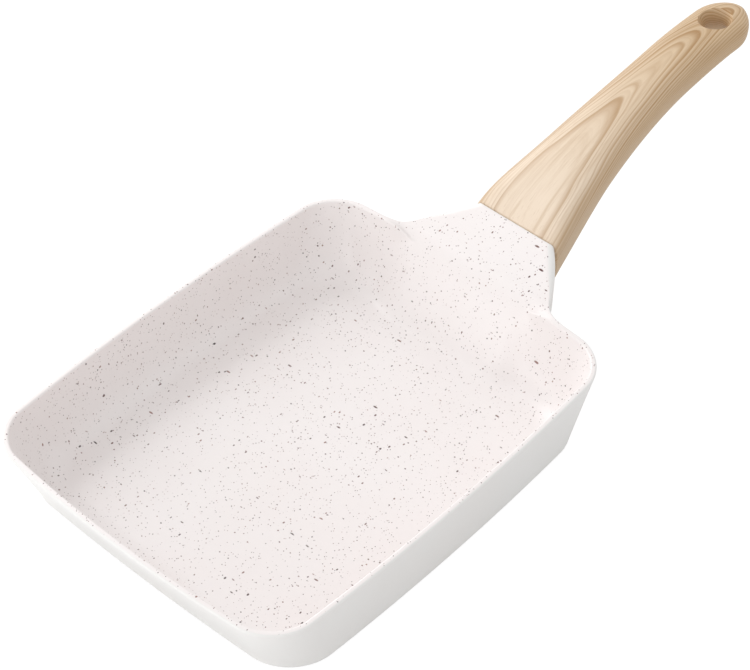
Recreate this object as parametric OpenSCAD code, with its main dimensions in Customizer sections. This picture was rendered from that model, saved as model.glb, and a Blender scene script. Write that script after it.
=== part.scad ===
// Rectangular rolled-omelette pan: a cast aluminium body with its neck cast on, a perforated
// steel plate pressed into its base, and a moulded handle pulled onto the neck's lug by one screw.
// X runs across the pan, Y from the front wall to the handle, Z up from the resting face.

/* [Pan body] */
// Width over the rim
pan_w = 150; // [130:1:170]
// Length over the rim, without the neck
pan_l = 190; // [170:1:215]
// Height from the resting face to the rim
pan_h = 33; // [29:0.5:45]
// Thickness of the wall at the rim
wall_t = 2.4; // [2:0.1:3.2]
// Thickness of the cast base under the cooking floor
floor_t = 4.6; // [3.6:0.1:6]
// Outer corner radius of the rim, seen from above
rim_r = 16.5; // [12:0.5:26]
// How far each long side bows outwards
side_bow = 4; // [1:0.1:6]
// How far the front and back walls bow outwards
end_bow = 4.6; // [1:0.1:7]
// Lean of each long wall, measured across its height
side_lean = 2.6; // [1:0.1:6]
// Lean of the front wall, measured across its height
front_lean = 11.5; // [5:0.1:16]
// Lean of the outer back wall, measured across its height
back_lean = 10; // [5:0.1:16]
// Corner radius of the base outline
base_r = 19; // [12:0.5:26]
// Outer radius between the walls and the base
heel_r = 4.5; // [3:0.5:7]
// Inner radius between the walls and the cooking floor
cove_r = 11; // [6:0.5:15]
// Length of the ramp from the cooking floor up to its crest
ramp_l = 27; // [20:1:34]
// Distance of the ramp's crest behind the rim's line
crest_back = 3; // [0:0.5:6]
// Radius on both edges of the rim
rim_edge = 0.8; // [0.4:0.1:1]

/* [Neck] */
// Distance that the neck reaches past the rim
neck_l = 25.2; // [18:0.1:34]
// Width of the neck at its end
neck_w = 39; // [34:0.5:44]
// Width of the neck at its shoulder
shoulder_w = 68; // [58:1:76]
// Width over the fillets where the neck leaves the rim
root_w = 92; // [78:1:100]
// Height of the neck's end face
neck_h = 22; // [17:0.5:23]
// Rise of the neck's top above the rim
neck_rise = 6.3; // [2:0.1:8]
// Radius along the neck's edges at its end
neck_r = 4; // [2:0.5:5]
// Bevel round the top of the neck's end face
neck_bevel = 1.5; // [0.4:0.1:2]
// Depth of the web that carries the neck from below
web_h = 12; // [9:0.5:15]
// How far the foot of that web is narrower than the neck, on each side
web_in = 8; // [3:0.5:12]

/* [Lug and screw] */
// Length of the lug inside the handle
lug_l = 33; // [28:1:38]
// Width of the lug
lug_w = 22; // [18:0.5:25]
// Thickness of the lug
lug_t = 7; // [6:0.5:8]
// Upward slope of the lug, in degrees
lug_tilt = 27; // [22:1:32]
// Distance of the screw from the joint, along the lug
screw_at = 22; // [18:1:25]
// Thread diameter of the screw
screw_d = 5; // [4:0.5:6]
// Diameter of the screw's head
head_d = 9; // [8:0.5:10]
// Height of the screw's head
head_h = 2.6; // [2:0.1:3.2]
// Diameter of the flat washer
washer_d = 9.6; // [9:0.1:11]
// Thickness of the flat washer
washer_t = 0.8; // [0.5:0.1:1.2]
// Thickness of the spring washer
spring_t = 1.2; // [0.8:0.1:1.6]

/* [Handle] */
// Length of the handle from the joint to its end
handle_l = 145.6; // [125:0.2:165]
// Width of the handle just behind the joint
front_w = 42; // [33:0.2:44]
// Height of the handle just behind the joint
front_h = 21.5; // [16:0.5:23]
// Radius on the handle's front edge, where it meets the neck
front_r = 1.2; // [0.6:0.1:2]
// Width of the handle at its waist
grip_w = 23.6; // [21:0.2:30]
// Thickness of the handle at its waist
grip_t = 18.4; // [14:0.2:20]
// Width of the handle across its end
end_w = 24.4; // [20:0.2:32]
// Thickness of the handle at its end
end_t = 14.5; // [9:0.5:18]
// Rise of the handle's end above the middle of the joint
handle_rise = 31.9; // [18:0.1:40]
// Diameter of the hanging hole
hang_d = 10; // [7:0.5:11]
// Radius of the dished mouths of the hanging hole
hang_edge = 3.5; // [2:0.1:4.5]
// Distance of the hanging hole from the handle's end, at half the thickness
hang_at = 17; // [14:0.5:20]
// Lean of the hanging hole towards the pan, in degrees
hang_lean = 20; // [0:1:24]

/* [Base plate] */
// Width of the steel plate
plate_w = 112; // [96:1:118]
// Length of the steel plate
plate_l = 128; // [110:1:134]
// Thickness of the steel plate
plate_t = 1; // [0.6:0.1:1.2]
// Corner radius of the steel plate
plate_r = 16; // [10:1:22]
// Diameter of each hole in the plate
plate_hole_d = 5; // [3:0.5:6]
// Spacing of the holes
plate_pitch = 14; // [12:0.5:18]

/* [Fits] */
// Gap between the plate and its recess
plate_gap = 0.1; // [0.05:0.05:0.2]
// Gap between the lug and its socket
lug_gap = 0.25; // [0.1:0.05:0.5]
// Gap between the screw and its holes
screw_gap = 0.2; // [0.1:0.05:0.4]

/* [Hidden] */
$fn = 48;

// Outlines of the walls, as [half width, front, back, corner radius, side bow, end bow]
rim_out = [pan_w / 2, pan_l / 2, pan_l / 2, rim_r, side_bow, end_bow];
rim_in = [for (k = [0:5]) rim_out[k] - (k < 4 ? wall_t : 0)];
base_out = [pan_w / 2 - side_lean, pan_l / 2 - front_lean, pan_l / 2 - back_lean, base_r,
            side_bow * 0.75, end_bow * 0.5];
cove_in = [for (k = [0:5]) base_out[k] - (k < 4 ? wall_t : 0)];
floor_in = [cove_in[0] - cove_r, cove_in[1] - cove_r, pan_l / 2 + crest_back - ramp_l, base_r - wall_t,
            side_bow * 0.5, end_bow * 0.3];

// Steps round the outline: corner arcs, long sides, front wall, back wall beside the neck, neck
corner_steps = 7;
side_steps = 8;
front_steps = 8;
beside_steps = 3;
neck_steps = 34;
end_steps = 6;
root_steps = 5;

// Places along Z and Y that more than one piece uses
joint_y = pan_l / 2 + neck_l;
neck_top = pan_h + neck_rise;
neck_low = neck_top - neck_h;
joint_z = neck_top - neck_h / 2;
rim_y = pan_l / 2;
crest_y = rim_y + crest_back;
web_low = max(heel_r, neck_low - web_h);

function mix(a, b, t) = a + (b - a) * t;
function clamp01(t) = min(1, max(0, t));
function ease(t) = let (c = clamp01(t)) c * c * (3 - 2 * c);
function bezier2(a, b, c, t) = mix(mix(a, b, t), mix(b, c, t), t);
function bezier3(a, b, c, d, t) = mix(bezier2(a, b, c, t), bezier2(b, c, d, t), t);
function arc_points(cx, cy, r, from) =
    [for (k = [0:corner_steps - 1]) let (a = from + 90 * k / corner_steps) [cx + r * cos(a), cy + r * sin(a)]];

// Places across the straight back edge, from 1 at its right end to -1 at its left end
edge_half = pan_w / 2 - side_bow - rim_r;
root_share = root_w / 2 / edge_half;
back_shares = concat(
    [for (k = [0:beside_steps - 1]) mix(1, root_share, k / beside_steps)],
    [for (k = [0:neck_steps - 1]) root_share * (1 - 2 * k / neck_steps)],
    [for (k = [0:beside_steps - 1]) mix(-root_share, -1, k / beside_steps)]);

// A rounded rectangle whose four sides bow outwards, as a closed list of points
function outline(o) =
    let (hx = o[0], hy = (o[1] + o[2]) / 2, mid = (o[2] - o[1]) / 2, r = o[3], bx = o[4], by = o[5],
         sx = hx - bx, sy = hy - by, ex = sx - r, ey = sy - r,
         walk = concat(
             [for (s = back_shares) [s * ex, sy]],
             arc_points(-ex, ey, r, 90),
             [for (k = [0:side_steps - 1]) [-sx, ey * (1 - 2 * k / side_steps)]],
             arc_points(-ex, -ey, r, 180),
             [for (k = [0:front_steps - 1]) [ex * (2 * k / front_steps - 1), -sy]],
             arc_points(ex, -ey, r, 270),
             [for (k = [0:side_steps - 1]) [sx, ey * (2 * k / side_steps - 1)]],
             arc_points(ex, ey, r, 0)))
    [for (p = walk) [p[0] * (1 + bx / sx * (1 - pow(p[1] / hy, 2))),
                     mid + p[1] * (1 + by / sy * (1 - pow(p[0] / hx, 2)))]];

rim_out_pts = outline(rim_out);
rim_in_pts = outline(rim_in);
base_out_pts = outline(base_out);
cove_in_pts = outline(cove_in);
floor_in_pts = outline(floor_in);
ring_n = len(rim_out_pts);

// Plan of the neck's right side, from its root at t = 0 past the shoulder to the end at t = 1
side_share = (neck_steps - end_steps) / neck_steps;
function neck_side(t) =
    let (root = root_steps / ((neck_steps - end_steps) / 2),
         at_root = rim_out_pts[beside_steps], foot = [shoulder_w / 2, rim_y + neck_l * 0.2],
         before = [mix(shoulder_w, root_w, 0.21) / 2, mix(at_root[1], foot[1], 0.14)])
    t < root
    ? bezier2(at_root, before, foot, t / root)
    : bezier3(foot, [mix(neck_w, shoulder_w, 0.735) / 2, rim_y + neck_l * 0.5],
              [mix(neck_w, shoulder_w, 0.4) / 2, rim_y + neck_l * 0.77], [neck_w / 2, joint_y],
              (t - root) / (1 - root));
function mirrored(p) = [-p[0], p[1]];
function neck_point(k) =
    let (t = k / neck_steps, half_side = side_share / 2)
    t < half_side ? neck_side(t / half_side)
    : t > 1 - half_side ? mirrored(neck_side((1 - t) / half_side))
    : [neck_w / 2 * (1 - 2 * (t - half_side) / (1 - side_share)), joint_y];

// For each point of the outline: how much it belongs to the neck, how much of the neck's edge radius
// it has, and how much it belongs to the ramp inside
neck_pts = [for (i = [0:ring_n - 1]) let (k = i - beside_steps)
            k > 0 && k < neck_steps ? neck_point(k) : rim_out_pts[i]];
neckness = [for (p = neck_pts) ease((p[1] - rim_y) / (neck_l * 0.35))];
edging = [for (p = neck_pts) ease((p[1] - rim_y) / (neck_l * 0.75))];
function ramp_share(x) = ease((0.47 * root_w - abs(x)) / (0.18 * root_w));
rampness = [for (p = rim_out_pts) p[1] < 0 ? 0 : ramp_share(p[0])];

// Height of the rim and of the neck's top, which climbs from the rim to the joint. Before the crest
// the top falls away as the ramp, as far from the middle as the ramp reaches.
function neck_z(y) = pan_h + neck_rise * pow(clamp01((y - rim_y) / neck_l), 1.6);
function ramp_z(y) = mix(floor_t, neck_z(y), ease(1 + (y - crest_y) / ramp_l));
function top_z(x, y) = y > rim_y - 2 * wall_t ? mix(neck_z(y), ramp_z(y), ramp_share(x)) : pan_h;

// One point of a ring round the body. from is the wall's own outline there, reach is 0 on the wall
// and 1 on the neck's outline, side_in and end_in draw the neck's sides and end inwards.
function body_xy(i, from, reach, side_in, end_in) =
    let (n = neck_pts[i], in_x = side_in * edging[i] / max(abs(n[0]), neck_w / 2),
         target = [n[0] * (1 - in_x), n[1] - end_in * ease((n[1] - rim_y) / neck_l)],
         shift = target - rim_out_pts[i] + neckness[i] * (rim_out_pts[i] - from[i]))
    from[i] + reach * shift;
function mix_pts(a, b, t) = [for (i = [0:ring_n - 1]) mix(a[i], b[i], t)];
function wall_pts(z) = mix_pts(base_out_pts, rim_out_pts, clamp01((z - heel_r) / (pan_h - heel_r)));
function flat_ring(pts, z) = [for (p = pts) [p[0], p[1], z]];

// The recess for the steel plate, spread over as many points as the walls have
plate_hx = plate_w / 2 + plate_gap;
plate_hy = plate_l / 2 + plate_gap;
plate_out = [plate_hx, plate_hy, plate_hy, plate_r + plate_gap, 0, 0];
plate_mid = (base_out[2] - base_out[1]) / 2;
plate_pts = [for (p = outline(plate_out)) [p[0], p[1] + plate_mid]];

heel_rings = [for (k = [0:4]) let (a = 90 * k / 4, in = heel_r * (1 - sin(a)), o = base_out)
    flat_ring(outline([o[0] - in, o[1] - in, o[2] - in, o[3] - in, o[4], o[5]]), heel_r * (1 - cos(a)))];
web_rings = [for (k = [0:5]) let (t = k / 5, z = mix(web_low, neck_low, 1 - pow(1 - t, 2)), w = wall_pts(z))
    [for (i = [0:ring_n - 1]) let (p = body_xy(i, w, t, mix(web_in, neck_r, t), 0)) [p[0], p[1], z]]];
jaw_rings = [for (a = [30, 60, 90]) let (z = neck_low + neck_r * (1 - cos(a)), w = wall_pts(z))
    [for (i = [0:ring_n - 1]) let (p = body_xy(i, w, 1, neck_r * (1 - sin(a)), 0)) [p[0], p[1], z]]];
lip_rings = [for (a = [0, 22.5, 45, 67.5, 90])
    let (w = mix_pts(rim_out_pts, rim_in_pts, rim_edge / wall_t * (1 - cos(a))))
    [for (i = [0:ring_n - 1])
        let (r = mix(rim_edge, neck_r, edging[i]), down = r * (1 - sin(a)),
             bevel = down < neck_bevel
                 ? neck_bevel - sqrt(pow(neck_bevel, 2) - pow(neck_bevel - down, 2)) : 0,
             p = body_xy(i, w, 1, neck_r * (1 - cos(a)), bevel))
        [p[0], p[1], top_z(p[0], p[1]) - down]]];
table_rings = [for (t = [0.2, 0.4, 0.6, 0.8, 1])
    let (w = mix_pts(rim_out_pts, rim_in_pts, mix(rim_edge, wall_t - rim_edge, t) / wall_t))
    [for (i = [0:ring_n - 1]) let (p = body_xy(i, w, 1 - t, neck_r, neck_bevel))
        [p[0], p[1], top_z(p[0], p[1])]]];
inner_lip_rings = [for (a = [45, 90])
    let (w = mix_pts(rim_out_pts, rim_in_pts, 1 - rim_edge * (1 - sin(a)) / wall_t))
    [for (i = [0:ring_n - 1]) let (p = w[i])
        [p[0], p[1], mix(pan_h - rim_edge * (1 - cos(a)), top_z(p[0], p[1]), rampness[i])]]];

// Inside, the side and front walls run straight down into a cove, and the back is a smooth ramp
cove_power = 2 / 3.4;
inner_steps = 10;
inner_rings = [for (k = [1:inner_steps]) let (t = k / inner_steps, lip_z = pan_h - rim_edge)
    [for (i = [0:ring_n - 1])
        let (c = 1 - pow(cos(90 * t), cove_power), s = pow(sin(90 * t), cove_power),
             wall_z = mix(lip_z, floor_t, s),
             wall = mix(rim_in_pts[i], cove_in_pts[i], s) + c * (floor_in_pts[i] - cove_in_pts[i]),
             ramp = mix(rim_in_pts[i], floor_in_pts[i], t), p = mix(wall, ramp, rampness[i]))
        [p[0], p[1], mix(wall_z, ramp_z(p[1]), rampness[i])]]];

body_rings = concat([flat_ring(plate_pts, plate_t), flat_ring(plate_pts, 0)], heel_rings, web_rings,
                    jaw_rings, lip_rings, table_rings, inner_lip_rings, inner_rings);

function ring_middle(r) = [for (k = [0:2]) let (v = [for (p = r) p[k]]) (min(v) + max(v)) / 2];

// A closed skin over a stack of rings that all have the same number of points. Each end is closed
// by a fan of triangles round its own middle, since a fan from an edge point would hold flat ones.
module skin(rings) {
    n = len(rings[0]);
    last = (len(rings) - 1) * n;
    middles = [ring_middle(rings[0]), ring_middle(rings[len(rings) - 1])];
    sides = [for (j = [0:len(rings) - 2], i = [0:n - 1], half = [0, 1])
        let (a = j * n + i, b = j * n + (i + 1) % n) half == 0 ? [a, a + n, b + n] : [a, b + n, b]];
    start = [for (i = [0:n - 1]) [i, (i + 1) % n, last + n]];
    finish = [for (i = [0:n - 1]) [last + (i + 1) % n, last + i, last + n + 1]];
    polyhedron(points = concat([for (r = rings, p = r) p], middles), faces = concat(start, sides, finish),
               convexity = 8);
}

// The lug's own frame: its origin on the joint, Y along the lug, Z square to its top
module on_lug() translate([0, joint_y, joint_z]) rotate([lug_tilt, 0, 0]) children();
module on_screw() on_lug() translate([0, screw_at, 0]) children();

module lug(grow) {
    back = 8;
    on_lug() translate([-lug_w / 2 - grow, -back, -lug_t / 2 - grow])
        cube([lug_w + 2 * grow, back + lug_l + grow, lug_t + 2 * grow]);
}

module pan_body() color("whitesmoke") {
    union() {
        skin(body_rings);
        difference() {
            lug(0);
            on_screw() cylinder(d = screw_d + 2 * screw_gap, h = 4 * lug_t, center = true);
        }
    }
}

module plate_blank() {
    corner_x = plate_w / 2 - plate_r;
    corner_y = plate_l / 2 - plate_r;
    union() {
        square([plate_w, 2 * corner_y], center = true);
        square([2 * corner_x, plate_l], center = true);
        for (x = [-corner_x, corner_x], y = [-corner_y, corner_y]) translate([x, y]) circle(plate_r);
    }
}

module base_plate() color("silver") {
    cols = floor((plate_w / 2 - plate_hole_d) / plate_pitch);
    rows = floor((plate_l / 2 - plate_hole_d) / plate_pitch);
    translate([0, plate_mid, 0]) linear_extrude(plate_t) difference() {
        plate_blank();
        for (c = [-cols:cols], r = [-rows:rows])
            if (abs(c) < cols || abs(r) < rows) translate([c, r] * plate_pitch) circle(d = plate_hole_d);
    }
}

// The handle's middle line, and its sizes at a share t of its length
handle_end = [joint_y + handle_l, joint_z + handle_rise];
line_a = [joint_y, joint_z];
line_b = [joint_y + 0.1565 * handle_l, joint_z + 0.6035 * handle_rise];
line_c = [joint_y + 0.686 * handle_l, joint_z + 1.215 * handle_rise];
function handle_line(t) = bezier3(line_a, line_b, line_c, handle_end, t);
function handle_angle(t) =
    let (d = handle_line(min(1, t + 0.01)) - handle_line(max(0, t - 0.01))) atan2(d[1], d[0]);
// Both run as two smooth curves that meet, level, at the waist. From cap_t on the end is rounded.
waist_t = 0.69;
cap_t = 0.89;
function along(front, waist, end, t) =
    t < waist_t ? bezier3(front, mix(front, waist, 0.15), waist, waist, t / waist_t)
                : mix(waist, end, ease((t - waist_t) / (cap_t - waist_t)));
function cap(t) = t < cap_t ? 0 : (t - cap_t) / (1 - cap_t);

handle_steps = 30;
round_steps = 36;
function half_w(t) = along(front_w, grip_w, end_w, t) / 2 * pow(1 - pow(cap(t), 2), 0.6);
function half_h(t) = along(front_h, grip_t, end_t, t) / 2 * pow(1 - pow(cap(t), 2), 0.165);
function handle_section(t) =
    let (f = max(0, 1 - t * handle_l / front_r), in = front_r * (1 - sqrt(1 - f * f)),
         w = half_w(t) - in, h = half_h(t) - in,
         power = mix(5, 2.7, ease(t / 0.35)), turn = handle_angle(t) * ease(t / 0.3), o = handle_line(t))
    [for (k = [0:round_steps - 1])
        let (a = -360 * k / round_steps, s = pow(pow(abs(cos(a)), power) + pow(abs(sin(a)), power), -1 / power),
             x = w * s * cos(a), z = h * s * sin(a))
        [x, o[0] - z * sin(turn), o[1] + z * cos(turn)]];
front_t = front_r / handle_l;
handle_stops = concat([0, 0.13 * front_t, 0.5 * front_t],
                      [for (k = [0:handle_steps - 11]) mix(front_t, cap_t, k / (handle_steps - 11))],
                      [for (k = [1:8]) mix(cap_t, 1, sin(90 * k / 8.4))]);
handle_rings = [for (t = handle_stops) handle_section(t)];

// The share of the middle line at which it passes a place along Y, by halving
function share_at(y, low, high, left) =
    let (half = (low + high) / 2)
    left == 0 ? half
    : handle_line(half)[0] < y ? share_at(y, half, high, left - 1)
    : share_at(y, low, half, left - 1);
hang_y = joint_y + handle_l - hang_at;
hang_t = share_at(hang_y, 0, 1, 24);
hang_z = handle_line(hang_t)[1];
hang_tilt = handle_angle(hang_t);

// A cylinder that leans, and two mouths dished into the faces where it comes out
module hang_hole() translate([0, hang_y, hang_z]) {
    face = half_h(hang_t);
    arc = [for (a = [0:15:75]) [hang_d / 2 - 1 + hang_edge * (1 - cos(a)), hang_edge * (sin(a) - 1)]];
    top = arc[len(arc) - 1];
    rotate([hang_lean, 0, 0]) cylinder(d = hang_d, h = 4 * end_t, center = true);
    for (side = [0, 180]) rotate([hang_tilt + side, 0, 0])
        translate([0, -face * tan(hang_lean - hang_tilt), face]) rotate_extrude()
            polygon(concat([[0, -hang_edge]], arc, [top + [3, 1] * hang_edge, [0, top[1] + hang_edge]]));
}

// Depth of the screw's seat below the lug: the handle keeps this much under the lug's socket
seat_low = -lug_t / 2 - 3.6;
module screw_seat() on_screw() {
    cylinder(d = screw_d + 2 * screw_gap, h = 2 * lug_t, center = true);
    translate([0, 0, seat_low - 20]) cylinder(d = washer_d + 4 * screw_gap, h = 20);
}

module handle() color("burlywood") {
    difference() {
        skin(handle_rings);
        lug(lug_gap);
        screw_seat();
        hang_hole();
    }
}

module flat_washer() color("silver") on_screw() translate([0, 0, seat_low - washer_t]) difference() {
    cylinder(d = washer_d, h = washer_t);
    translate([0, 0, -1]) cylinder(d = screw_d + 2 * screw_gap, h = washer_t + 2);
}

module spring_washer() color("silver") on_screw()
    translate([0, 0, seat_low - washer_t - spring_t]) difference() {
        cylinder(d = head_d - 0.6, h = spring_t);
        translate([0, 0, -1]) cylinder(d = screw_d + 2 * screw_gap, h = spring_t + 2);
        translate([0, -0.4, -1]) cube([head_d, 0.8, spring_t + 2]);
    }

module handle_screw() color("silver") on_screw() {
    under_head = seat_low - washer_t - spring_t;
    difference() {
        union() {
            translate([0, 0, under_head]) cylinder(d = screw_d, h = lug_t / 2 - 0.5 - under_head);
            translate([0, 0, under_head - head_h]) cylinder(d1 = 0.7 * head_d, d2 = head_d, h = head_h);
        }
        for (turn = [0, 90]) rotate([0, 0, turn])
            translate([-head_d / 4, -0.5, under_head - head_h - 1]) cube([head_d / 2, 1, 1 + 0.6 * head_h]);
    }
}

pan_body();
base_plate();
handle();
handle_screw();
spring_washer();
flat_washer();
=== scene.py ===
import bpy
import numpy as np
from mathutils import Matrix


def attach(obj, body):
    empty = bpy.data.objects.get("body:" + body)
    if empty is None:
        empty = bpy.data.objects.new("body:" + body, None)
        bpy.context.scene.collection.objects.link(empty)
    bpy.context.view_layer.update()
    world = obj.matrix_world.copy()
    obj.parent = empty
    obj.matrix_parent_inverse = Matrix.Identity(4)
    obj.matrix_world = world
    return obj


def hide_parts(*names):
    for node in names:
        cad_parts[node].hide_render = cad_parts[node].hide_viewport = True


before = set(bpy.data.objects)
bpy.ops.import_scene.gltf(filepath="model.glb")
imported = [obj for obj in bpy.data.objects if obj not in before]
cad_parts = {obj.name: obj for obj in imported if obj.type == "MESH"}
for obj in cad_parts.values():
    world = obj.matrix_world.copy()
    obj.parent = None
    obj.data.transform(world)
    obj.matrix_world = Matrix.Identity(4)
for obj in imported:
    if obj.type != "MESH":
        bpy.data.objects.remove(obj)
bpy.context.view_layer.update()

# Pan body.
# One die casting in aluminium: a low tray with bowed walls, a ramp at its back, and the neck that
# runs on from the ramp. It is coated all over, with a speckled coat inside and a plain one outside.
MM = 0.001
PAN_W, PAN_L, PAN_H = 150.0, 190.0, 33.0
WALL_T, FLOOR_T, RIM_EDGE = 2.4, 4.6, 0.8
HEEL_R, COVE_R, COVE_POWER, RAMP_L, CREST_BACK = 4.5, 11.0, 3.4, 27.0, 3.0
PLATE_DEEP = 1.0
NECK_L, NECK_W, SHOULDER_W, ROOT_W = 25.2, 39.0, 68.0, 92.0
NECK_H, NECK_RISE, NECK_CLIMB, NECK_R, NECK_BEVEL = 22.0, 6.3, 1.6, 4.0, 1.5
WEB_H, WEB_IN = 12.0, 8.0
RIM_Y = PAN_L / 2
CREST_Y = RIM_Y + CREST_BACK
JOINT_Y = RIM_Y + NECK_L
NECK_TOP = PAN_H + NECK_RISE
NECK_LOW = NECK_TOP - NECK_H
JOINT_Z = NECK_TOP - NECK_H / 2
# An outline's sizes: half its width, its front, its back, its corners, how far its sides bow and
# how far its ends do.
RIM_OUT = np.array([PAN_W / 2, RIM_Y, RIM_Y, 16.5, 4.0, 4.6])
BASE_OUT = np.array([PAN_W / 2 - 2.6, RIM_Y - 11.5, RIM_Y - 10.0, 19.0, 3.0, 2.3])
WALL_IN = np.array([WALL_T, WALL_T, WALL_T, WALL_T, 0.0, 0.0])
COVE_IN = BASE_OUT - WALL_IN
FLOOR_IN = np.array([COVE_IN[0] - COVE_R, COVE_IN[1] - COVE_R, CREST_Y - RAMP_L,
                     BASE_OUT[3] - WALL_T, 2.0, 1.38])
PLATE_HOLE = np.array([56.1, 64.1, 64.1, 16.1, 0.0, 0.0])
# Points of each ring beside the neck and in it, and the lip's rings that keep the plain coat.
BESIDE, NECK_ROUND, PLAIN_LIP = 8, 120, 12


def ease(t):
    """A smooth step: 3 t squared less 2 t cubed, held at 0 and 1 outside that range."""
    c = np.clip(t, 0.0, 1.0)
    return c * c * (3.0 - 2.0 * c)


def mix(first, second, share):
    """The first value where share is 0, the second where it is 1."""
    return first + (second - first) * share


def bezier(points, t):
    """A Bezier curve by repeated mixing: neighbouring points are mixed by t until one is left."""
    t = np.asarray(t, dtype=float)[..., None]
    level = [np.asarray(p, dtype=float) for p in points]
    while len(level) > 1:
        level = [mix(a, b, t) for a, b in zip(level[:-1], level[1:])]
    return level[0]


def back_shares():
    """Places across the straight back edge from 1 to -1: even steps beside the neck and in it."""
    root = ROOT_W / 2 / (PAN_W / 2 - RIM_OUT[4] - RIM_OUT[3])
    return np.concatenate([np.linspace(1, root, BESIDE, endpoint=False),
                           np.linspace(root, -root, NECK_ROUND, endpoint=False),
                           np.linspace(-root, -1, BESIDE, endpoint=False)])


def bowed_outline(sizes):
    """A rounded rectangle walked anticlockwise from its back right corner. Each coordinate is then
    stretched by a parabola of the other one, so all four sides bow outwards."""
    half_x, front, back, corner, bow_x, bow_y = sizes
    half_y, middle = (front + back) / 2, (back - front) / 2
    flat_x, flat_y = half_x - bow_x, half_y - bow_y
    end_x, end_y = flat_x - corner, flat_y - corner
    turn = np.radians(np.arange(24) * 90 / 24)
    run = np.arange(32) / 16 - 1

    def arc(x, y, start):
        angle = turn + np.radians(start)
        return np.stack([x + corner * np.cos(angle), y + corner * np.sin(angle)], axis=-1)

    def line(x, y):
        return np.stack(np.broadcast_arrays(x, y), axis=-1)

    walk = np.concatenate([line(back_shares() * end_x, flat_y), arc(-end_x, end_y, 90),
                           line(-flat_x, -run * end_y), arc(-end_x, -end_y, 180),
                           line(run * end_x, -flat_y), arc(end_x, -end_y, 270),
                           line(flat_x, run * end_y), arc(end_x, end_y, 0)])
    x, y = walk[:, 0], walk[:, 1]
    return np.stack([x * (1 + bow_x / flat_x * (1 - (y / half_y) ** 2)),
                     middle + y * (1 + bow_y / flat_y * (1 - (x / half_x) ** 2))], axis=-1)


rim_out, rim_in = bowed_outline(RIM_OUT), bowed_outline(RIM_OUT - WALL_IN)
base_out = bowed_outline(BASE_OUT)
cove_in, floor_in = bowed_outline(COVE_IN), bowed_outline(FLOOR_IN)
plate_rim = bowed_outline(PLATE_HOLE) + [0.0, (BASE_OUT[2] - BASE_OUT[1]) / 2]


def neck_plan():
    """The neck seen from above: a fillet out of the rim, a shoulder that runs on as one curve to
    the joint, and the straight end across it, with the left side the mirror of the right."""
    root, foot = rim_out[BESIDE], np.array([SHOULDER_W / 2, RIM_Y + NECK_L * 0.2])
    before = [mix(SHOULDER_W, ROOT_W, 0.21) / 2, mix(root[1], foot[1], 0.14)]
    shoulder = [mix(SHOULDER_W, NECK_W, 0.265) / 2, RIM_Y + NECK_L * 0.5]
    slope = [mix(SHOULDER_W, NECK_W, 0.6) / 2, RIM_Y + NECK_L * 0.77]
    right = np.concatenate([
        bezier([root, before, foot], np.linspace(0, 1, 18, endpoint=False)),
        bezier([foot, shoulder, slope, [NECK_W / 2, JOINT_Y]],
               np.linspace(0, 1, 32, endpoint=False))])
    across = np.linspace(1, -1, NECK_ROUND - 2 * len(right) + 1)
    end = np.stack([across * NECK_W / 2, np.full(len(across), JOINT_Y)], axis=-1)
    return np.concatenate([right, end, right[:0:-1] * [-1.0, 1.0]])


body_plan = rim_out.copy()
body_plan[BESIDE:BESIDE + NECK_ROUND] = neck_plan()


def past_rim(share):
    """How far each point of the plan is past the rim: eased to 1 at that share of the neck."""
    return ease((body_plan[:, 1] - RIM_Y) / (NECK_L * share))


neckness, edging, endness = past_rim(0.35), past_rim(0.75), past_rim(1.0)


def ramp_share(x):
    """How much the back belongs to the ramp: 1 in its middle, 0 from the neck's root outwards."""
    return ease((0.47 * ROOT_W - np.abs(x)) / (0.18 * ROOT_W))


def neck_height(y):
    """The rim's height, and past it the neck's, which climbs by a power of the distance."""
    return PAN_H + NECK_RISE * np.clip((y - RIM_Y) / NECK_L, 0, 1) ** NECK_CLIMB


def ramp_height(y):
    """The ramp: a smooth step from the cooking floor up to the crest on the neck's top."""
    return mix(FLOOR_T, neck_height(y), ease(1 + (y - CREST_Y) / RAMP_L))


def top_height(plan):
    """The height over a ring's plan: the rim's and neck's, mixed with the ramp's in the middle."""
    x, y = plan[:, 0], plan[:, 1]
    share = np.where(y > RIM_Y - 2 * WALL_T, ramp_share(x), 0.0)
    return mix(neck_height(y), ramp_height(y), share)


rampness = np.where(rim_out[:, 1] < 0, 0.0, ramp_share(rim_out[:, 0]))


def ring_plan(wall, reach=1.0, side_in=0.0, end_in=0.0):
    """One ring seen from above: the wall's outline there, moved towards the neck's plan by reach,
    with the neck's sides and its end drawn inwards."""
    narrowed = side_in * edging / np.maximum(np.abs(body_plan[:, 0]), NECK_W / 2)
    target = np.stack([body_plan[:, 0] * (1 - narrowed), body_plan[:, 1] - end_in * endness],
                      axis=-1)
    return wall + reach * (target - rim_out + neckness[:, None] * (rim_out - wall))


def wall_at(z):
    """The outer wall's outline at a height: straight from the base's outline to the rim's."""
    return mix(base_out, rim_out, np.clip((z - HEEL_R) / (PAN_H - HEEL_R), 0, 1))


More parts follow.
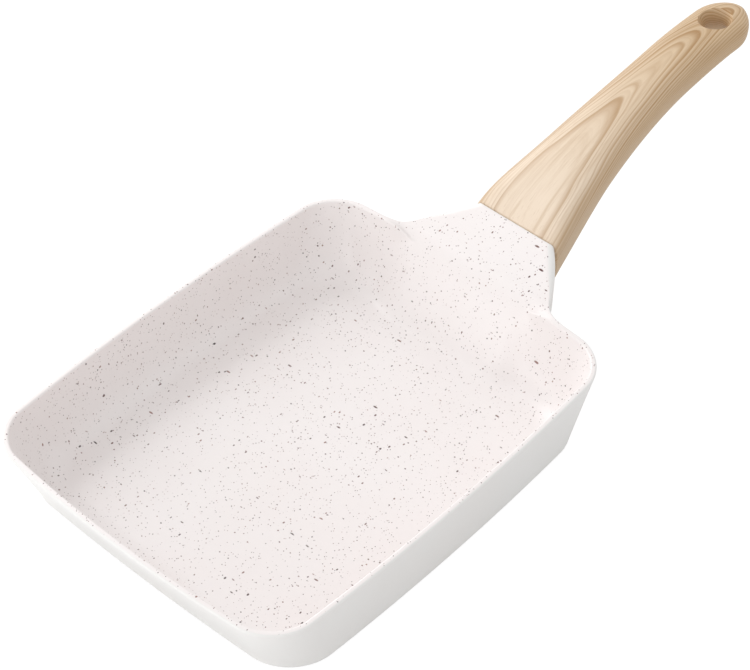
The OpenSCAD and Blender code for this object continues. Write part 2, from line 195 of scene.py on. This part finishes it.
def body_rings():
    """All rings of the casting, from the recess for the steel plate round the heel, up the wall and
    the neck, over the rounded rim, and down inside by coves at the sides and a ramp at the back."""
    rings = []

    def add(plan, z):
        rings.append(np.column_stack([plan, np.broadcast_to(z, len(plan))]))

    for z in (PLATE_DEEP, 0.0):
        add(plate_rim, z)
    for a in np.radians(np.linspace(0, 90, 10)):
        inwards = HEEL_R * (1 - np.sin(a))
        add(bowed_outline(BASE_OUT - [inwards, inwards, inwards, inwards, 0, 0]),
            HEEL_R * (1 - np.cos(a)))
    web_low = max(HEEL_R, NECK_LOW - WEB_H)
    for t in np.linspace(0, 1, 14):
        z = mix(web_low, NECK_LOW, 1 - (1 - t) ** 2)
        add(ring_plan(wall_at(z), t, mix(WEB_IN, NECK_R, t)), z)
    for a in np.radians(np.linspace(0, 90, 9)[1:]):
        z = NECK_LOW + NECK_R * (1 - np.cos(a))
        add(ring_plan(wall_at(z), 1.0, NECK_R * (1 - np.sin(a))), z)
    outer_count = len(rings)
    for a in np.radians(np.linspace(0, 90, 15)):
        wall = mix(rim_out, rim_in, RIM_EDGE / WALL_T * (1 - np.cos(a)))
        down = mix(RIM_EDGE, NECK_R, edging) * (1 - np.sin(a))
        bevel = NECK_BEVEL - np.sqrt(NECK_BEVEL ** 2 - np.clip(NECK_BEVEL - down, 0, None) ** 2)
        plan = ring_plan(wall, 1.0, NECK_R * (1 - np.cos(a)), bevel)
        add(plan, top_height(plan) - down)
    for t in np.linspace(0, 1, 17)[1:]:
        wall = mix(rim_out, rim_in, (RIM_EDGE + (WALL_T - 2 * RIM_EDGE) * t) / WALL_T)
        plan = ring_plan(wall, 1 - t, NECK_R, NECK_BEVEL)
        add(plan, top_height(plan))
    for a in np.radians(np.linspace(0, 90, 7)[1:]):
        wall = mix(rim_out, rim_in, 1 - RIM_EDGE * (1 - np.sin(a)) / WALL_T)
        add(wall, mix(PAN_H - RIM_EDGE * (1 - np.cos(a)), top_height(wall), rampness))
    for t in np.linspace(0, 1, 41)[1:]:
        out_of = 1 - np.cos(t * np.pi / 2) ** (2 / COVE_POWER)
        into = np.sin(t * np.pi / 2) ** (2 / COVE_POWER)
        wall = mix(rim_in, cove_in, into) + (floor_in - cove_in) * out_of
        plan = mix(wall, mix(rim_in, floor_in, t), rampness[:, None])
        add(plan, mix(mix(PAN_H - RIM_EDGE, FLOOR_T, into), ramp_height(plan[:, 1]), rampness))
    return np.array(rings), outer_count


def ring_skin(name, rings, sharp=40):
    """A closed skin: four-sided faces between neighbouring rings, and a fan of triangles round the
    middle of the first and of the last ring. Sizes go in as millimetres."""
    count, around = rings.shape[:2]
    middles = (rings[[0, -1]].min(axis=1) + rings[[0, -1]].max(axis=1)) / 2
    points = np.concatenate([rings.reshape(-1, 3), middles]) * MM
    here = np.arange(around)
    after = (here + 1) % around
    start = (np.arange(count - 1) * around)[:, None]
    quads = np.stack([start + here, start + after, start + around + after, start + around + here],
                     axis=-1)
    top = (count - 1) * around
    first = np.stack([after, here, np.full(around, count * around)], axis=-1)
    last = np.stack([top + here, top + after, np.full(around, count * around + 1)], axis=-1)
    faces = quads.reshape(-1, 4).tolist() + first.tolist() + last.tolist()
    mesh = bpy.data.meshes.new(name)
    mesh.from_pydata(points.tolist(), [], faces)
    mesh.polygons.foreach_set("use_smooth", np.ones(len(mesh.polygons), dtype=bool))
    mesh.set_sharp_from_angle(angle=np.radians(sharp))
    piece = bpy.data.objects.new(name, mesh)
    bpy.context.scene.collection.objects.link(piece)
    return piece


def connect(tree, made, inputs):
    """Links or sets each named or numbered input of a node."""
    for key, value in inputs.items():
        if isinstance(value, bpy.types.NodeSocket):
            tree.links.new(value, made.inputs[key])
        else:
            made.inputs[key].default_value = value
    return made


def node(tree, kind, inputs=None, **settings):
    """Adds one shader node, sets its properties and then its inputs."""
    made = tree.nodes.new("ShaderNode" + kind)
    for key, value in settings.items():
        setattr(made, key, value)
    return connect(tree, made, inputs or {})


def new_finish(name):
    """An empty material with its node tree, its surface shader and its Object coordinates."""
    finish = bpy.data.materials.new(name)
    finish.use_nodes = True
    tree = finish.node_tree
    coords = node(tree, "TexCoord").outputs["Object"]
    return finish, tree, tree.nodes["Principled BSDF"], coords


def math(tree, operation, first, second=0.0, third=0.0):
    """One Math node."""
    return node(tree, "Math", {0: first, 1: second, 2: third}, operation=operation).outputs[0]


def remap(tree, value, low, high, at_low=0.0, at_high=1.0):
    """One Map Range node, which holds its end values outside its range."""
    return node(tree, "MapRange", {0: value, 1: low, 2: high, 3: at_low, 4: at_high}).outputs[0]


def noise(tree, coords, scale, detail, roughness=0.5):
    """One Noise node: its outputs are the factor and the colour."""
    return node(tree, "TexNoise", {"Vector": coords, "Scale": scale, "Detail": detail,
                                   "Roughness": roughness}).outputs


def bumped(tree, height, strength, distance):
    """The normal of one Bump node."""
    return node(tree, "Bump", {"Height": height, "Strength": strength,
                               "Distance": distance}).outputs[0]


def blend_colour(tree, share, under, over):
    """A Mix node on colours: under where share is 0, over where it is 1."""
    return node(tree, "Mix", {0: share, 6: under, 7: over}, data_type="RGBA").outputs[2]


def specks(tree, coords, cell, size, part, stretch, turn):
    """Scattered specks: the inside of a ball round the centre of some cells of a cell pattern.
    Cells and specks are in millimetres, part is the share of cells that hold one."""
    warp = noise(tree, coords, 900.0 / size, 1.0)["Color"]
    moved = node(tree, "MixRGB", {0: 0.00028 * size, 1: coords, 2: warp}, blend_type="ADD")
    placed = node(tree, "Mapping", {"Vector": moved.outputs[0], "Rotation": turn,
                                    "Scale": stretch}).outputs[0]
    cells = node(tree, "TexVoronoi", {"Vector": placed, "Scale": 1 / MM / cell}, feature="F1")
    draws = node(tree, "SeparateColor", {0: cells.outputs["Color"]}).outputs
    width = size / cell
    chosen = math(tree, "LESS_THAN", draws[0], part)
    reach = math(tree, "MULTIPLY_ADD", draws[1], 0.7 * width / 2, 0.6 * width / 2)
    edge = math(tree, "SUBTRACT", reach, cells.outputs["Distance"])
    return math(tree, "MULTIPLY", remap(tree, edge, 0.0, 0.22 * width), chosen), draws[2]


COAT_OUTSIDE, COAT_INSIDE, CLOUD = (0.85, 0.84, 0.825), (0.865, 0.82, 0.81), (0.985, 0.972, 0.968)
SPECK_DARK, SPECK_RED = (0.035, 0.018, 0.018, 1), (0.10, 0.03, 0.026, 1)
SPECK_PALE = (0.33, 0.19, 0.165, 1)
# The four sizes of specks: cell, speck, share of the cells, stretch of the cells, turn.
SPECKS = [(1.0, 0.42, 0.42, (1.1, 1, 1.2), (0.7, 0.1, 0.9)),
          (1.9, 0.66, 0.42, (1, 1.25, 1.1), (0.3, 0.2, 0.5)),
          (3.4, 1.0, 0.4, (1.5, 0.9, 1.2), (0.9, 0.4, 1.1)),
          (6.6, 1.55, 0.4, (0.75, 2.0, 1.5), (0.2, 1.3, 0.8))]


def coat(name, tint, speckled):
    """The coat: a warm white with a faint cloudiness and the fine ripple of a sprayed surface, and
    where it is speckled, four sizes of dark brown to reddish specks."""
    finish, tree, shader, coords = new_finish(name)
    share = remap(tree, noise(tree, coords, 22.0, 3.0, 0.55)[0], 0.3, 0.7)
    cloudy = [value * held for value, held in zip(tint, CLOUD)]
    colour = blend_colour(tree, share, (*tint, 1), (*cloudy, 1))
    for layer in SPECKS if speckled else []:
        mask, shade = specks(tree, coords, *layer)
        dark = node(tree, "ValToRGB", {0: shade})
        stops = dark.color_ramp.elements
        stops[0].position, stops[0].color = 0.0, SPECK_DARK
        stops[1].position, stops[1].color = 1.0, SPECK_PALE
        stops.new(0.45).color = SPECK_RED
        colour = blend_colour(tree, mask, colour, dark.outputs[0])
    ripple = bumped(tree, noise(tree, coords, 420.0, 2.0)[0], 0.06, 0.0006)
    connect(tree, shader, {"Base Color": colour, "Normal": ripple, "Roughness": 0.36,
                           "Coat Weight": 0.15, "Coat Roughness": 0.22})
    return finish


rings, outer_count = body_rings()
pan = ring_skin("pan_casting", rings)
pan.data.materials.append(coat("plain_coat", COAT_OUTSIDE, False))
pan.data.materials.append(coat("speckled_coat", COAT_INSIDE, True))
# The fan that closes the first ring comes after the last band of faces, and stays plain.
band = np.arange(len(pan.data.polygons)) // rings.shape[1]
inner = (band >= outer_count + PLAIN_LIP) & (band != len(rings) - 1)
pan.data.polygons.foreach_set("material_index", inner.astype(np.int32))
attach(pan, "root")
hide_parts("pan_body")

# Lug.
# The bar that the casting holds out into the handle, sloping up with it, bored across for the
# screw. It is the one place where the casting is left bare.
LUG_L, LUG_W, LUG_T, LUG_TILT = 33.0, 22.0, 7.0, np.radians(27.0)
LUG_BACK, LUG_EDGE, LUG_ROUND, LUG_GAP = 8.0, 0.6, 1.0, 0.25
SCREW_AT, SCREW_D, SCREW_GAP = 22.0, 5.0, 0.2
SHANK_R = SCREW_D / 2 + SCREW_GAP
THROUGH = 20.0


def on_lug(points):
    """The lug's own frame turned up by its tilt about X and set on the middle of the joint."""
    x, y, z = np.moveaxis(np.asarray(points, dtype=float), -1, 0)
    c, s = np.cos(LUG_TILT), np.sin(LUG_TILT)
    return np.stack([x, JOINT_Y + y * c - z * s, JOINT_Z + y * s + z * c], axis=-1)


def bar_rings(half_w, half_t, stops, edge):
    """Rounded rectangles along Y, each given as a place and how far it is drawn in."""
    turn = np.radians(-np.arange(16) * 90 / 15)
    rings = []
    for y, inwards in stops:
        loop = []
        for side, over, start in [(1, 1, 90), (1, -1, 0), (-1, -1, -90), (-1, 1, -180)]:
            angle = turn + np.radians(start)
            loop.append(np.stack([side * (half_w - edge) + (edge - inwards) * np.cos(angle),
                                  np.full(len(turn), y),
                                  over * (half_t - edge) + (edge - inwards) * np.sin(angle)],
                                 axis=-1))
        rings.append(np.concatenate(loop))
    return np.array(rings)


def round_rings(profile, around=64):
    """A profile of (radius, height) turned about the screw, as rings from the lowest upwards."""
    angle = np.arange(around) * 2 * np.pi / around
    profile = np.asarray(profile, dtype=float)
    return np.stack([profile[:, :1] * np.cos(angle), SCREW_AT + profile[:, :1] * np.sin(angle),
                     np.broadcast_to(profile[:, 1:], (len(profile), around))], axis=-1)


def cut(piece, tools):
    """Takes the tools out of the piece by an exact Boolean, keeps the result as the piece's own
    mesh and removes the tools."""
    for tool in tools:
        step = piece.modifiers.new("cut", "BOOLEAN")
        step.operation, step.solver, step.object = "DIFFERENCE", "EXACT", tool
    bpy.context.view_layer.update()
    seen = piece.evaluated_get(bpy.context.evaluated_depsgraph_get())
    mesh = bpy.data.meshes.new_from_object(seen)
    piece.modifiers.clear()
    piece.data = mesh
    for tool in tools:
        bpy.data.objects.remove(tool)
    mesh.polygons.foreach_set("use_smooth", np.ones(len(mesh.polygons), dtype=bool))
    mesh.set_sharp_from_angle(angle=np.radians(35))


lug_stops = [(-LUG_BACK, 0.0), (LUG_L - LUG_EDGE, 0.0), (LUG_L, LUG_EDGE)]
lug = ring_skin("handle_lug", on_lug(bar_rings(LUG_W / 2, LUG_T / 2, lug_stops, LUG_ROUND)))
bore = round_rings([(SHANK_R, -THROUGH), (SHANK_R, THROUGH)])
cut(lug, [ring_skin("lug_bore", on_lug(bore))])
bare, tree, shader, coords = new_finish("bare_casting")
grain = noise(tree, coords, 900.0, 3.0)[0]
connect(tree, shader, {
    "Base Color": blend_colour(tree, grain, (0.52, 0.52, 0.53, 1), (0.66, 0.66, 0.67, 1)),
    "Metallic": 1.0, "Roughness": 0.5})
lug.data.materials.clear()
lug.data.materials.append(bare)
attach(lug, "root")
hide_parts("pan_body")

# Handle.
# One moulding in phenolic, printed to look like pale ash: wide and nearly square where it butts on
# the neck, slim at the waist, and flat and rounded at the end, with a hanging hole through it and
# a low boss underneath, in which the screw lies.
HANDLE_L, HANDLE_RISE = 145.6, 31.9
FRONT_W, GRIP_W, END_W = 42.0, 23.6, 24.4
FRONT_H, GRIP_T, END_T = 21.5, 18.4, 14.5
FRONT_R, FRONT_POWER, GRIP_POWER = 1.2, 5.0, 2.7
WAIST_T, CAP_T, LAST_RING = 0.69, 0.89, 85.7
WIDTH_CLOSES, HEIGHT_CLOSES = 0.6, 0.165
HANG_D, HANG_MOUTH, HANG_AT, HANG_LEAN = 10.0, 14.0, 17.0, np.radians(20.0)
HANG_LONG, HANG_PAST = 1.6, 2.5
BOSS_R, BOSS_FADE, BOSS_OVAL, BOSS_LOW = 6.5, 15.0, 1.45, -12.2
SEAT_R, SEAT_DEEP, SEAT_FROM, SOCKET_ROUND = 5.2, 3.6, -40.0, 0.4
MIDDLE = np.array([JOINT_Y, JOINT_Z]) + np.array([HANDLE_L, HANDLE_RISE]) * [
    [0.0, 0.0], [0.1565, 0.6035], [0.686, 1.215], [1.0, 1.0]]


def middle_angle(t):
    """The slope of the handle's middle line, from two points a hundredth of it either side."""
    step = bezier(MIDDLE, np.minimum(1, t + 0.01)) - bezier(MIDDLE, np.maximum(0, t - 0.01))
    return np.arctan2(step[..., 1], step[..., 0])


def along(front, waist, end, t):
    """A size along the handle: one Bezier down to the waist and one smooth step up to the end."""
    stops = [[front], [mix(front, waist, 0.15)], [waist], [waist]]
    after_waist = mix(waist, end, ease((t - WAIST_T) / (CAP_T - WAIST_T)))
    return np.where(t < WAIST_T, bezier(stops, t / WAIST_T)[..., 0], after_waist)


def closing(t, power):
    """What closes the handle's end: 1 up to the cap, and then an ellipse's height to a power."""
    return (1 - np.clip((t - CAP_T) / (1 - CAP_T), 0, 1) ** 2) ** power


def half_width(t):
    """Half of the width, which closes nearly as an ellipse over the last part."""
    return along(FRONT_W, GRIP_W, END_W, t) / 2 * closing(t, WIDTH_CLOSES)


def half_height(t):
    """Half of the thickness, which closes later and more bluntly than the width."""
    return along(FRONT_H, GRIP_T, END_T, t) / 2 * closing(t, HEIGHT_CLOSES)


def handle_rings(around=192):
    """Superellipses square to the middle line, whose power falls towards the grip. The front edge
    is rounded in."""
    front_t = FRONT_R / HANDLE_L
    front = front_t * (1 - np.cos(np.linspace(0, np.pi / 2, 8, endpoint=False)))
    cap = mix(CAP_T, 1, np.sin(np.radians(np.linspace(0, LAST_RING, 40))))
    t = np.concatenate([front, np.linspace(front_t, CAP_T, 170, endpoint=False), cap])
    inwards = FRONT_R * (1 - np.sqrt(1 - np.clip(1 - t / front_t, 0, 1) ** 2))
    half_w, half_h = half_width(t) - inwards, half_height(t) - inwards
    power = mix(FRONT_POWER, GRIP_POWER, ease(t / 0.35))[:, None]
    lean = (middle_angle(t) * ease(t / 0.3))[:, None]
    angle = -np.arange(around) * 2 * np.pi / around
    c, s = np.cos(angle), np.sin(angle)
    radius = (np.abs(c) ** power + np.abs(s) ** power) ** (-1 / power)
    x, z = half_w[:, None] * radius * c, half_h[:, None] * radius * s
    middle = bezier(MIDDLE, t)
    return np.stack([x, middle[:, :1] - z * np.sin(lean), middle[:, 1:] + z * np.cos(lean)],
                    axis=-1)


def with_boss(rings):
    """The underside drawn down along the screw to an oval boss, which fades out smoothly."""
    c, s = np.cos(LUG_TILT), np.sin(LUG_TILT)
    y, z = rings[..., 1] - JOINT_Y, rings[..., 2] - JOINT_Z
    along_lug, above_lug = y * c + z * s, z * c - y * s
    apart = np.hypot(rings[..., 0], (along_lug - SCREW_AT) / BOSS_OVAL)
    near = ease((BOSS_FADE - apart) / (BOSS_FADE - BOSS_R))
    down = np.where(above_lug < 0, np.clip(above_lug - BOSS_LOW, 0, None), 0.0) * near
    return rings + np.stack([np.zeros_like(down), down * s, -down * c], axis=-1)


handle = ring_skin("grip_moulding", with_boss(handle_rings()), sharp=50)
hang_y = JOINT_Y + HANDLE_L - HANG_AT
end_part = np.linspace(0.7, 1.0, 601)
hang_t = np.interp(hang_y, bezier(MIDDLE, end_part)[:, 0], end_part)
hang_z, hang_tilt = bezier(MIDDLE, hang_t)[1], middle_angle(hang_t)
face = half_height(hang_t)


def hang_rings(around=96):
    """The hanging hole as rings in the handle's own frame there. Each is set off by the lean, and
    its radii grow from the waist to the mouths by the square of the height, most on the far side
    above and on the near side below."""
    h = np.linspace(-face - HANG_PAST, face + HANG_PAST, 61)[:, None]
    flare = (HANG_MOUTH - HANG_D) / 2 * (h / face) ** 2
    lean, angle = HANG_LEAN - hang_tilt, np.arange(around) * 2 * np.pi / around
    reach = HANG_D / 2 / np.cos(lean) + HANG_LONG * flare
    aside = (HANG_LONG - 1) * np.sign(h) * flare - h * np.tan(lean)
    x, y = (HANG_D / 2 + flare) * np.cos(angle), reach * np.sin(angle) + aside
    c, s = np.cos(hang_tilt), np.sin(hang_tilt)
    return np.stack([x, hang_y + y * c - h * s, hang_z + y * s + h * c], axis=-1)


socket = bar_rings(LUG_W / 2 + LUG_GAP, LUG_T / 2 + LUG_GAP,
                   [(-LUG_BACK, 0), (LUG_L + LUG_GAP, 0)], SOCKET_ROUND)
seat_z = -LUG_T / 2 - SEAT_DEEP
seat = round_rings([(SEAT_R, SEAT_FROM), (SEAT_R, seat_z), (SHANK_R, seat_z), (SHANK_R, LUG_T)])
cut(handle, [ring_skin("hanging_hole", hang_rings()), ring_skin("socket_tool", on_lug(socket)),
             ring_skin("seat_tool", on_lug(seat))])

# The pith runs under the top of the grip, and the rings round it cut the surface in arches.
GRAIN_Y, PITH_X, PITH_SLOPE, PITH_DROP, PITH_R = 0.19, 0.0036, 0.1, -0.01066, 0.003
SWAY_OUT, SWAY_ACROSS, LADDER = 0.0015, 0.006, 20.0
WOOD_PALE, WOOD_WARM = (0.815, 0.68, 0.54, 1), (0.66, 0.485, 0.30, 1)
# The darker brown of the handle's sides is partly the print's own tone and partly painted shade.
WOOD_SIDE_TONE_AND_SHADE, WOOD_STREAK = (0.48, 0.325, 0.175, 1), (0.58, 0.42, 0.27, 1)
FINE_LINE, CLOSE_LINE = (0.50, 0.34, 0.20, 1), (0.38, 0.21, 0.08, 1)
ARCH_LINE, PORE = (0.36, 0.185, 0.055, 1), (0.52, 0.37, 0.24, 1)
BLACK = (0, 0, 0, 1)
wood, tree, shader, coords = new_finish("wood_look_moulding")
line_t = np.linspace(0, 1, 80)
line_y = bezier(MIDDLE, line_t)[:, 0] * MM - GRAIN_Y
place_x, place_y, place_z = node(tree, "SeparateXYZ", {0: coords}).outputs
y_from = math(tree, "SUBTRACT", place_y, GRAIN_Y)


def cubic(values):
    """A cubic in the distance along Y that passes closest to the values on the middle line."""
    factors = [float(v) for v in np.polyfit(line_y, values, 3)]
    level = math(tree, "MULTIPLY_ADD", y_from, factors[0], factors[1])
    level = math(tree, "MULTIPLY_ADD", level, y_from, factors[2])
    return math(tree, "MULTIPLY_ADD", level, y_from, factors[3])


def squared(value):
    """A value times itself."""
    return math(tree, "MULTIPLY", value, value)


depth = math(tree, "SUBTRACT", place_z, cubic(bezier(MIDDLE, line_t)[:, 1] * MM))
top_of_grip = cubic(along(FRONT_H, GRIP_T, END_T, line_t) / 2 * MM)
spread = cubic(FRONT_W / along(FRONT_W, GRIP_W, END_W, line_t))
straight = node(tree, "CombineXYZ", {0: place_x, 1: place_y, 2: depth}).outputs[0]
drift = node(tree, "Mapping", {"Vector": straight, "Scale": (1.0, 0.14, 1.0)}).outputs[0]
wander = noise(tree, drift, 80.0, 2.0)["Color"]
sway = node(tree, "SeparateColor", {0: wander}).outputs
across = math(tree, "SUBTRACT", place_x, PITH_X)
across = math(tree, "MULTIPLY_ADD", sway[1], SWAY_ACROSS, across)
across = math(tree, "MULTIPLY", across, math(tree, "MULTIPLY", spread, 0.62))
drop = math(tree, "SUBTRACT", top_of_grip, depth)
rise = math(tree, "ADD", math(tree, "MULTIPLY_ADD", place_y, PITH_SLOPE, PITH_DROP), drop)
ring = math(tree, "ADD", squared(rise), squared(across))
ring = math(tree, "SQRT", math(tree, "ADD", ring, PITH_R ** 2))
ring = math(tree, "MULTIPLY_ADD", sway[0], SWAY_OUT, math(tree, "SUBTRACT", ring, SWAY_OUT / 2))


def growth_lines(spacing, sharpness):
    """Growth rings: the fraction of the ring's radius over the spacing, to a power, so that each
    ring darkens slowly and ends at once."""
    share = math(tree, "FRACT", math(tree, "MULTIPLY", ring, 1 / MM / spacing))
    rising = math(tree, "POWER", share, sharpness)
    return math(tree, "MULTIPLY", rising, remap(tree, share, 0.88, 1.0, 1.0, 0.0))


# The arches on top: how far out each ends in millimetres, how wide it fades in, how dark it is.
ARCHES = [(6.3, 1.2, 0.2), (8.6, 1.5, 0.95), (9.45, 0.35, 0.6), (10.4, 0.6, 0.3),
          (11.5, 0.6, 0.7), (12.9, 1.1, 1.0), (14.1, 0.8, 0.75), (15.6, 0.7, 0.9)]
ladder = node(tree, "ValToRGB", {0: math(tree, "MULTIPLY", ring, 1 / MM / LADDER)})
steps = ladder.color_ramp.elements
for step, position in zip(steps, (0.0, 1.0)):
    step.position, step.color = position, BLACK
for end, width, dark in ARCHES:
    steps.new((end - width) / LADDER).color = BLACK
    steps.new((end - 0.12) / LADDER).color = (dark, dark, dark, 1)
    steps.new((end + 0.04) / LADDER).color = BLACK
fine, close_set = growth_lines(0.6, 1.5), growth_lines(1.05, 2.2)
near_pith = remap(tree, ring, 0.0045, 0.0085)
down_side = remap(tree, drop, 0.002, 0.007, 1.0, 0.0)
fine = math(tree, "MULTIPLY", fine, math(tree, "MULTIPLY", near_pith, down_side))
fan = [math(tree, "MULTIPLY", place_x, spread), math(tree, "MULTIPLY", place_y, 0.035),
       math(tree, "MULTIPLY", depth, 0.5)]
fan = node(tree, "CombineXYZ", dict(enumerate(fan))).outputs[0]
plain = remap(tree, noise(tree, fan, 420.0, 3.0, 0.6)[0], 0.5, 0.68, 0.0, 0.42)
outer = remap(tree, ring, 0.0125, 0.0160)
outer = math(tree, "MULTIPLY", outer, remap(tree, drop, 0.006, 0.012, 1.0, 0.25))
patch = noise(tree, drift, 260.0, 1.0)[0]
towards_end = remap(tree, place_y, 0.13, 0.235)
colour = blend_colour(tree, towards_end, WOOD_PALE, WOOD_WARM)
sideways = math(tree, "ABSOLUTE", math(tree, "MULTIPLY", place_x, spread))
# The colour goes darker and browner down from the top and out towards the edges of the width:
# partly the print's own tone and partly painted shade on the sides.
side_tone_and_shade_by_drop = remap(tree, drop, 0.001, 0.0055, 0.0, 0.6)
side_tone_and_shade_by_width = remap(tree, sideways, 0.0155, 0.02, 0.0, 0.65)
colour = blend_colour(tree, math(tree, "MAXIMUM", side_tone_and_shade_by_drop, side_tone_and_shade_by_width), colour, WOOD_SIDE_TONE_AND_SHADE)
fine = math(tree, "MULTIPLY", fine, math(tree, "MULTIPLY_ADD", towards_end, 0.35, 0.12))
close_set = math(tree, "MULTIPLY", close_set, outer)
close_set = math(tree, "MULTIPLY", close_set, math(tree, "MULTIPLY_ADD", patch, 1.5, 0.3))
arched = math(tree, "MULTIPLY_ADD", towards_end, 0.45, 0.5)
arched = math(tree, "MULTIPLY", ladder.outputs[0], arched)
for share, dark in [(plain, WOOD_STREAK), (fine, FINE_LINE), (close_set, CLOSE_LINE),
                    (arched, ARCH_LINE)]:
    colour = blend_colour(tree, share, colour, dark)
streaks = node(tree, "Mapping", {"Vector": straight, "Scale": (1.0, 0.03, 1.0)}).outputs[0]
fibre = noise(tree, streaks, 1900.0, 3.0, 0.6)[0]
colour = blend_colour(tree, remap(tree, fibre, 0.56, 0.72, 0.0, 0.3), colour, PORE)
connect(tree, shader, {"Base Color": colour, "Normal": bumped(tree, fibre, 0.12, 0.0004),
                       "Roughness": 0.48})
handle.data.materials.clear()
handle.data.materials.append(wood)
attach(handle, "root")
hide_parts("handle")

# Base plate.
# A perforated sheet of stainless steel, pressed flush into the underside of the casting, so that
# the pan heats on an induction hob.
plate_steel, tree, shader, coords = new_finish("brushed_plate")
lines = node(tree, "Mapping", {"Vector": coords, "Scale": (1.0, 0.02, 1.0)}).outputs[0]
brush = noise(tree, lines, 3200.0, 3.0, 0.65)[0]
connect(tree, shader, {
    "Base Color": blend_colour(tree, brush, (0.50, 0.50, 0.51, 1), (0.68, 0.68, 0.69, 1)),
    "Roughness": remap(tree, brush, 0.3, 0.7, 0.26, 0.42),
    "Normal": bumped(tree, brush, 0.15, 0.0002), "Metallic": 1.0})
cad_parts["base_plate"].data.materials.clear()
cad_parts["base_plate"].data.materials.append(plate_steel)

# Screw and washers.
# One cross-recessed steel screw with a spring washer and a flat washer, in the seat under the
# handle, which pulls the handle onto the lug.
screw_steel, tree, shader, coords = new_finish("plated_steel")
wear = noise(tree, coords, 700.0, 4.0)[0]
connect(tree, shader, {
    "Base Color": blend_colour(tree, wear, (0.46, 0.46, 0.47, 1), (0.66, 0.66, 0.66, 1)),
    "Roughness": remap(tree, wear, 0.3, 0.7, 0.24, 0.4), "Metallic": 1.0})
for name in ("handle_screw", "spring_washer", "flat_washer"):
    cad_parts[name].data.materials.clear()
    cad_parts[name].data.materials.append(screw_steel)

# Floor, light and camera.
# The pan stands on a plain white table, which also glows a little to the camera, under a large
# soft light on its left and a weaker one low in front.
TABLE_HALF, GLOW, GLOW_SHARE = 4, 1.12, 0.8
WORLD_LIGHT, WORLD_SEEN = 0.83, 0.17
floor_mesh = bpy.data.meshes.new("table")
floor_mesh.from_pydata([(x * TABLE_HALF, y * TABLE_HALF, 0) for x, y in
                        ((-1, -1), (1, -1), (1, 1), (-1, 1))], [], [(0, 1, 2, 3)])
floor = bpy.data.objects.new("table", floor_mesh)
bpy.context.scene.collection.objects.link(floor)
table, tree, shader, coords = new_finish("white_table")
connect(tree, shader, {"Base Color": (0.86, 0.86, 0.86, 1), "Roughness": 0.9})
rays = node(tree, "LightPath").outputs
glow = node(tree, "Emission", {"Color": (1, 1, 1, 1), "Strength": GLOW}).outputs[0]
share = math(tree, "MULTIPLY", rays["Is Camera Ray"], GLOW_SHARE)
mixed = node(tree, "MixShader", {0: share, 1: shader.outputs[0], 2: glow}).outputs[0]
connect(tree, tree.nodes["Material Output"], {"Surface": mixed})
floor_mesh.materials.append(table)

world = bpy.data.worlds.new("studio")
bpy.context.scene.world = world
world.use_nodes = True
tree = world.node_tree
rays = node(tree, "LightPath").outputs
mirrored = math(tree, "MAXIMUM", rays["Is Glossy Ray"], rays["Is Transmission Ray"])
seen = math(tree, "MAXIMUM", rays["Is Camera Ray"], mirrored)
level = math(tree, "MULTIPLY_ADD", seen, WORLD_SEEN, WORLD_LIGHT)
connect(tree, tree.nodes["Background"], {"Strength": level, "Color": (1, 1, 1, 1)})


def turned_to(right, up, away, place):
    """The matrix of something at a place, given its own three directions."""
    made = np.eye(4)
    made[:3] = np.column_stack([right, up, away, place])
    return Matrix(made.tolist())


def soft_light(name, place, target, width, watts):
    """A square area light that faces its target."""
    lamp = bpy.data.lights.new(name, "AREA")
    lamp.size, lamp.energy = width, watts
    held = bpy.data.objects.new(name, lamp)
    away = np.array(place) - np.array(target)
    away = away / np.linalg.norm(away)
    right = np.cross([0.0, 1.0, 0.0], away)
    right /= np.linalg.norm(right)
    held.matrix_world = turned_to(right, np.cross(away, right), away, place)
    bpy.context.scene.collection.objects.link(held)


soft_light("softbox_left", (-1.15, 0.3, 0.75), (0, 0.05, 0), 1.0, 8.4)
soft_light("softbox_front", (-0.25, -1.2, 0.22), (0, 0, 0), 0.8, 4.8)

AZIMUTH, ELEVATION, ROLL = np.radians([37.48, 46.65, 3.81])
DISTANCE, TARGET = 0.8196, np.array([0.03865, 0.04613, 0.020])
SENSOR, LENS, SHIFT_X, SHIFT_Y, CLIP = 36.0, 105.6, -0.1231, 0.0943, 0.02
aim = np.array([np.sin(AZIMUTH) * np.cos(ELEVATION), -np.cos(AZIMUTH) * np.cos(ELEVATION),
                np.sin(ELEVATION)])
level_x = np.cross(-aim, [0.0, 0.0, 1.0])
level_x /= np.linalg.norm(level_x)
level_y = np.cross(level_x, -aim)
lens = bpy.data.cameras.new("camera")
lens.sensor_width, lens.lens, lens.clip_start = SENSOR, LENS, CLIP
lens.shift_x, lens.shift_y = SHIFT_X, SHIFT_Y
camera = bpy.data.objects.new("camera", lens)
camera.matrix_world = turned_to(level_x * np.cos(ROLL) + level_y * np.sin(ROLL),
                                level_y * np.cos(ROLL) - level_x * np.sin(ROLL),
                                aim, TARGET + DISTANCE * aim)
bpy.context.scene.collection.objects.link(camera)
bpy.context.scene.camera = camera
bpy.context.scene.view_settings.view_transform = "Standard"
